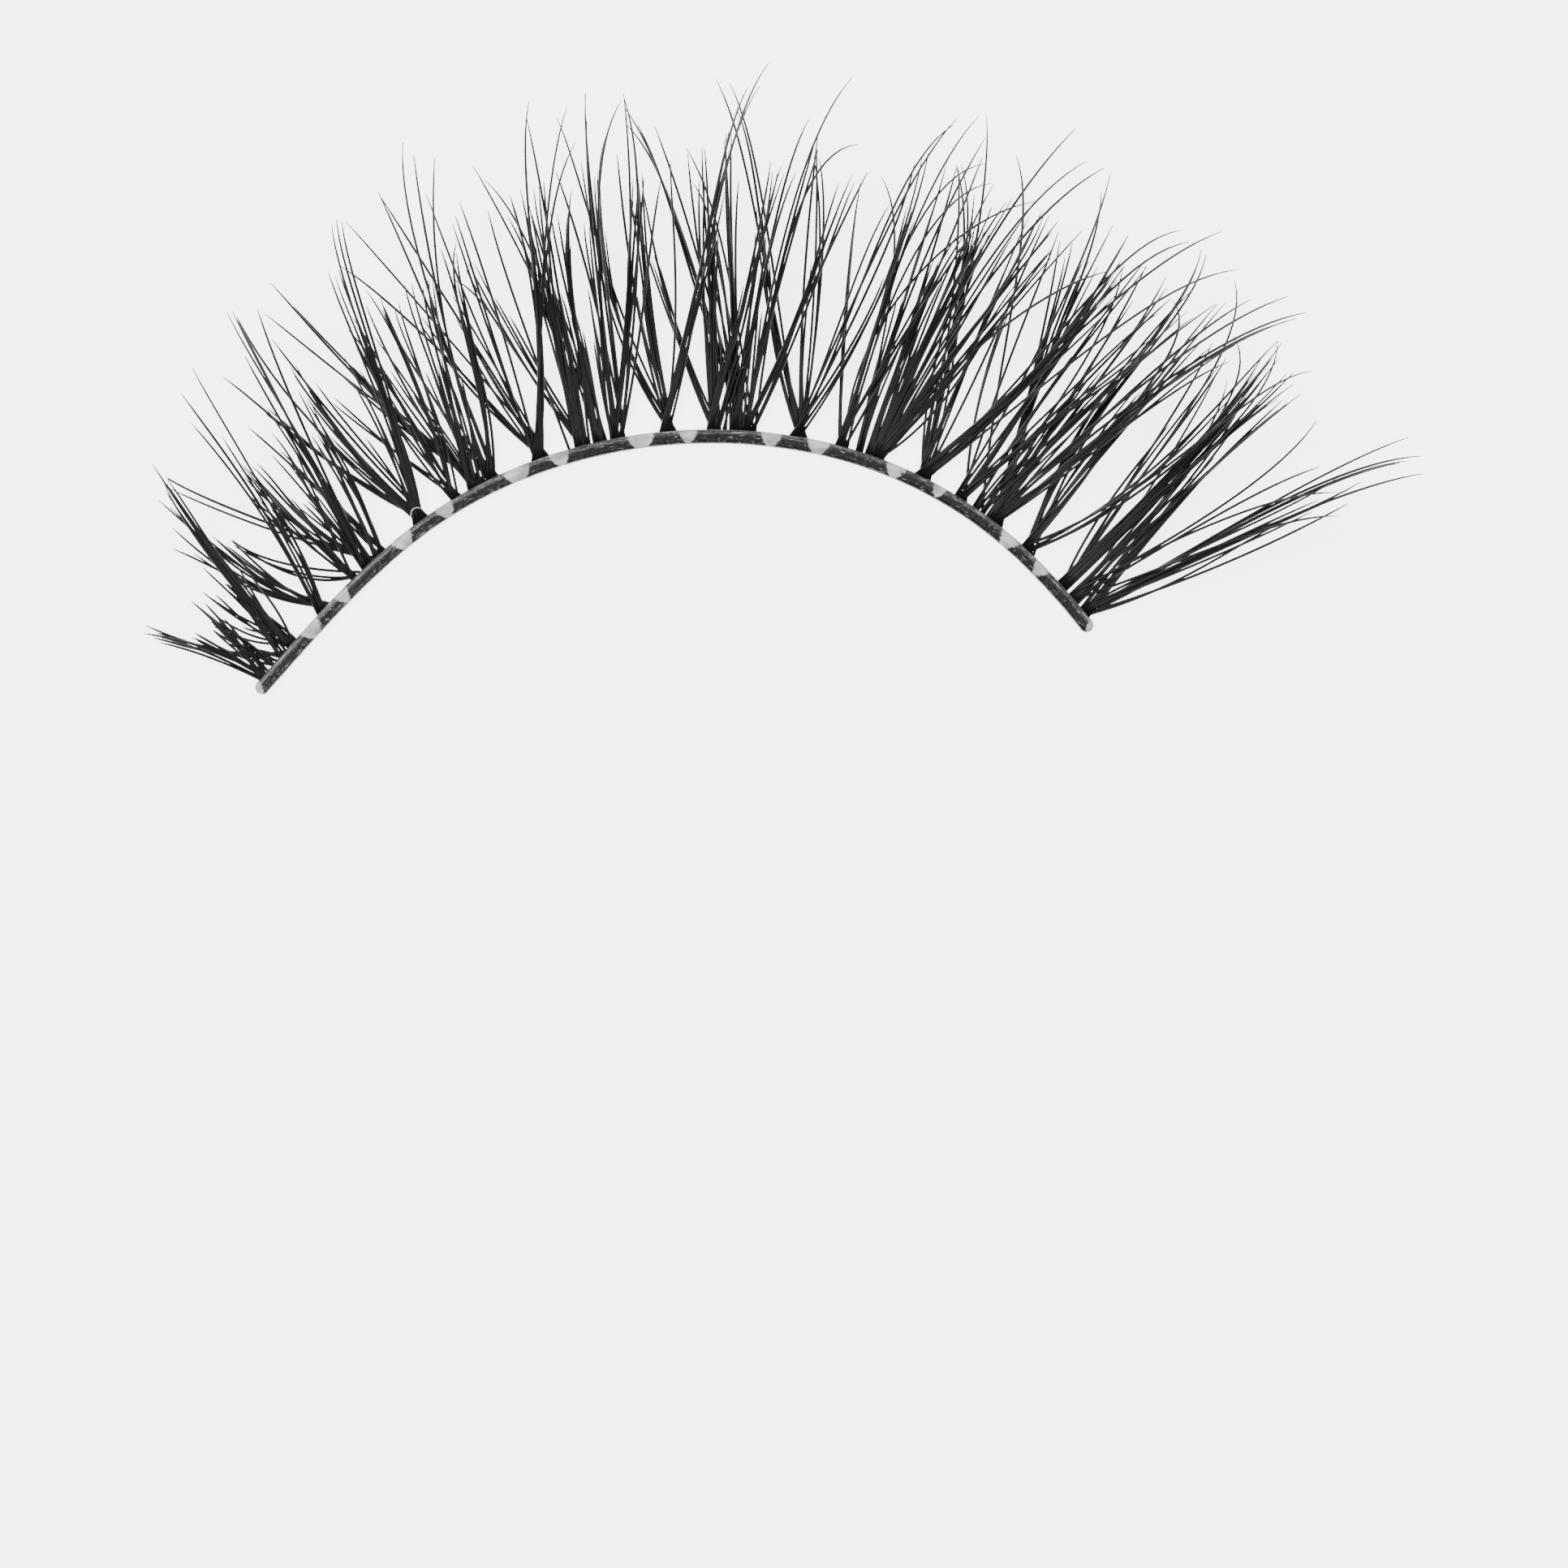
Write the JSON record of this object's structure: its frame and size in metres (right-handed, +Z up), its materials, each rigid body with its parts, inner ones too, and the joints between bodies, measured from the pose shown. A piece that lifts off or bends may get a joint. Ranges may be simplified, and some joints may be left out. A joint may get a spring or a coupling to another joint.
{
  "type": "false eyelash strip",
  "caption": "Curved strip of black curling lash clusters rooted in a thin clear flexible band, glued along the upper eyelid.",
  "frame": {"origin": "middle of the clear band's underside, half way along its length, on the surface that the strip lies on", "axes": "+X along the band towards the long lashes of the outer corner, +Y from the band towards the lash tips, +Z up, the way the lashes curl"},
  "size_m": [0.0437, 0.0215, 0.0078],
  "materials": {
    "clear_band": "clear flexible plastic, slightly cloudy, glossy",
    "lash_hair": "black synthetic fibre with a soft sheen"
  },
  "bodies": {
    "root": {"band": "clear_band", "lash_cluster_01": "lash_hair", "lash_cluster_02": "lash_hair", "lash_cluster_03": "lash_hair", "lash_cluster_04": "lash_hair", "lash_cluster_05": "lash_hair", "lash_cluster_06": "lash_hair", "lash_cluster_07": "lash_hair", "lash_cluster_08": "lash_hair", "lash_cluster_09": "lash_hair", "lash_cluster_10": "lash_hair", "lash_cluster_11": "lash_hair", "lash_cluster_12": "lash_hair", "lash_cluster_13": "lash_hair", "lash_cluster_14": "lash_hair", "lash_cluster_15": "lash_hair"}
  },
  "joints": []
}
